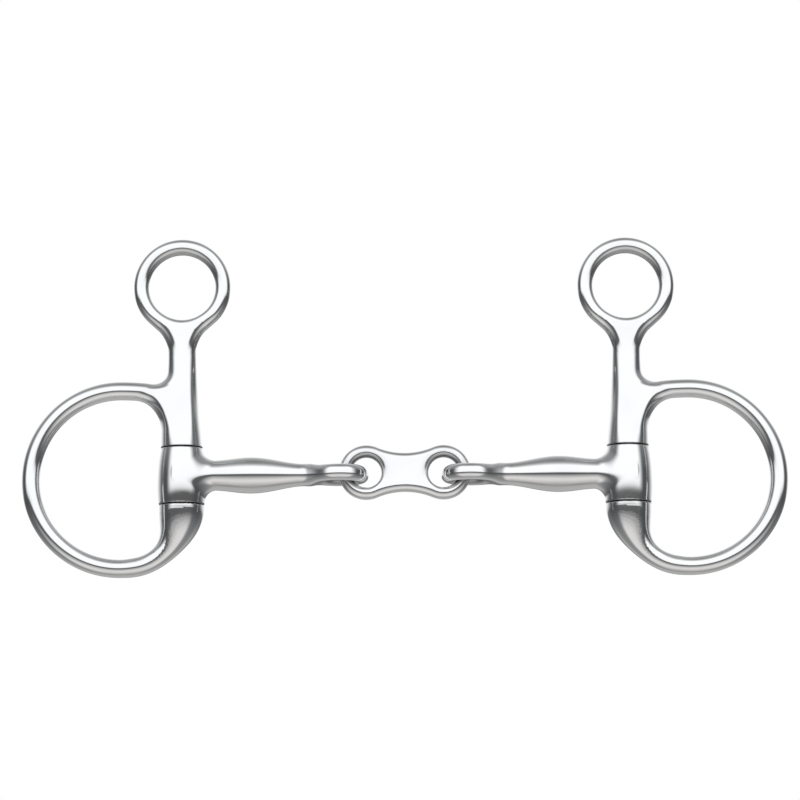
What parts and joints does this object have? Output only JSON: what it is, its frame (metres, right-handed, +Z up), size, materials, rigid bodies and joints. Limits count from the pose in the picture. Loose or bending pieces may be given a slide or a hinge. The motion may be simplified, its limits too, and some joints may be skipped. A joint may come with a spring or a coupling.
{
  "type": "snaffle bit",
  "caption": "Hanging-cheek horse bit: a jointed steel mouthpiece with a flat centre link, and cheeks with a bridle ring above and a rein ring at the side.",
  "frame": {"origin": "middle of the mouthpiece, on the arms' axis, which passes 0.7 mm below the centre of the centre link", "axes": "+X along the mouthpiece towards the right cheek, +Z up along the cheeks as the bit hangs, +Y towards the back"},
  "size_m": [0.254, 0.0192, 0.1136],
  "materials": {
    "polished_steel": "polished cast stainless steel with fine wear",
    "pin_steel": "ground stainless steel"
  },
  "bodies": {
    "link": {"centre_link": "polished_steel"},
    "left_arm": {"left_mouth_arm": "polished_steel"},
    "right_arm": {"right_mouth_arm": "polished_steel"},
    "left_cheekpiece": {"left_cheek": "polished_steel", "left_spindle_pin": "pin_steel"},
    "right_cheekpiece": {"right_cheek": "polished_steel", "right_spindle_pin": "pin_steel"}
  },
  "joints": [
    {"name": "left_arm_fold", "type": "hinge", "parent": "link", "child": "left_arm", "pos_m": [-0.01985, 0, 0], "axis": [0, 0, 1], "range_deg": [-45, 45]},
    {"name": "right_arm_fold", "type": "hinge", "parent": "link", "child": "right_arm", "pos_m": [0.01985, 0, 0], "axis": [0, 0, 1], "range_deg": [-45, 45]},
    {"name": "left_cheek_swivel", "type": "hinge", "parent": "left_arm", "child": "left_cheekpiece", "pos_m": [-0.074, 0, 0], "axis": [0, 0, 1], "range_deg": [-90, 90]},
    {"name": "right_cheek_swivel", "type": "hinge", "parent": "right_arm", "child": "right_cheekpiece", "pos_m": [0.074, 0, 0], "axis": [0, 0, 1], "range_deg": [-90, 90]}
  ]
}
